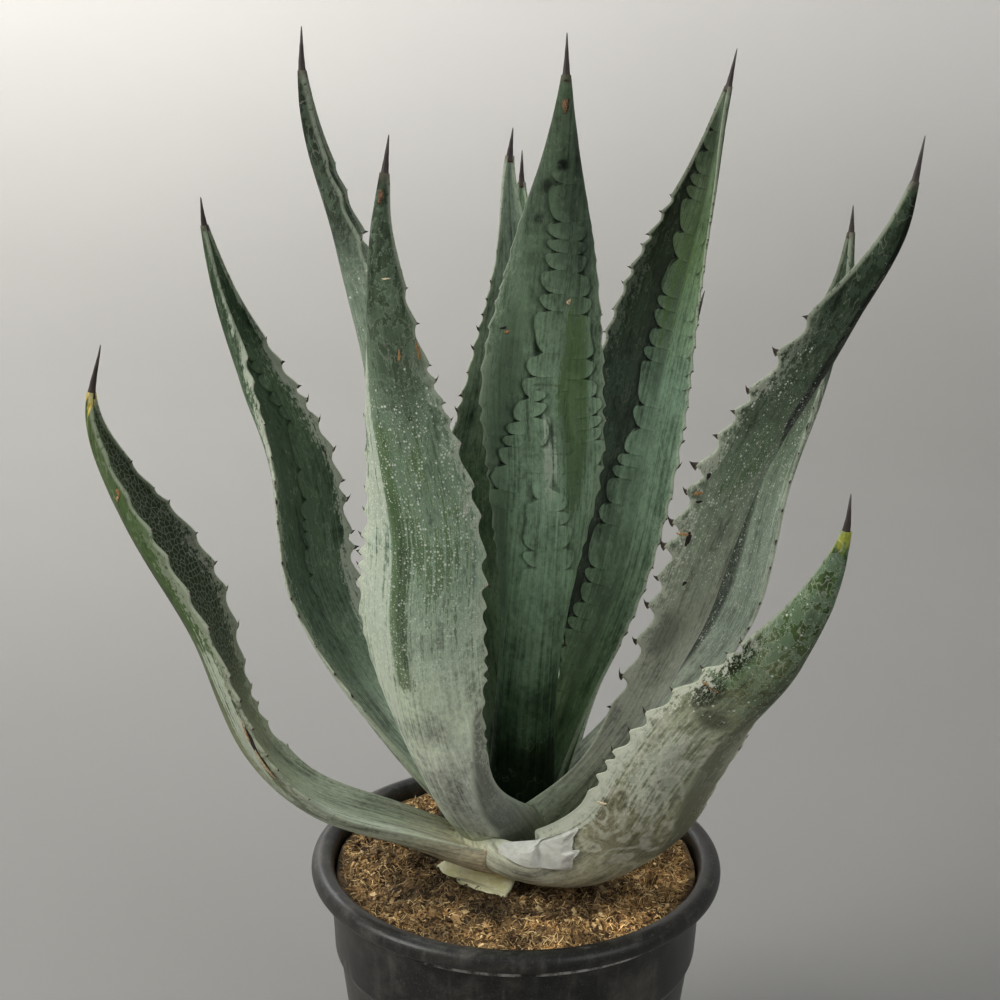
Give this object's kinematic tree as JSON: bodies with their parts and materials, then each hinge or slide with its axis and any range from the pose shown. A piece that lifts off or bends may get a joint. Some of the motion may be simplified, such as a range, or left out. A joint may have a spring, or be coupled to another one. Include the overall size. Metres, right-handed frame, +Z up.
{
  "type": "potted century plant",
  "caption": "Young century plant, a rosette of thick grey-green leaves with toothed margins and dark end spines, in a round black nursery pot filled with soil.",
  "frame": {"origin": "centre of the pot's flat underside", "axes": "+Z up along the pot's axis, -Y towards the viewer of the picture, +X to the viewer's right"},
  "size_m": [0.3791, 0.3593, 0.611],
  "materials": {
    "leaf": "satin",
    "spine": "satin",
    "stump": "matte",
    "scrap": "matte",
    "stem": "matte",
    "soil": "matte",
    "pot": "satin"
  },
  "bodies": {
    "root": {"pot": "pot", "soil": "soil", "stem": "stem", "stump_front": "stump", "scrap_front": "scrap", "leaf_left_low": "leaf", "leaf_front_right": "leaf", "leaf_back_low": "leaf", "leaf_front_left": "leaf", "leaf_right_mid": "leaf", "leaf_left_mid": "leaf", "leaf_back_tall": "leaf", "leaf_left_tall": "leaf", "leaf_right_tall": "leaf", "leaf_bud_back": "leaf", "leaf_right_back": "leaf", "leaf_bud_front": "leaf", "leaf_spear": "leaf", "spine_left_low": "spine", "spine_front_right": "spine", "spine_back_low": "spine", "spine_front_left": "spine", "spine_right_mid": "spine", "spine_left_mid": "spine", "spine_back_tall": "spine", "spine_left_tall": "spine", "spine_right_tall": "spine", "spine_bud_back": "spine", "spine_right_back": "spine", "spine_bud_front": "spine", "spine_spear": "spine"}
  },
  "joints": []
}
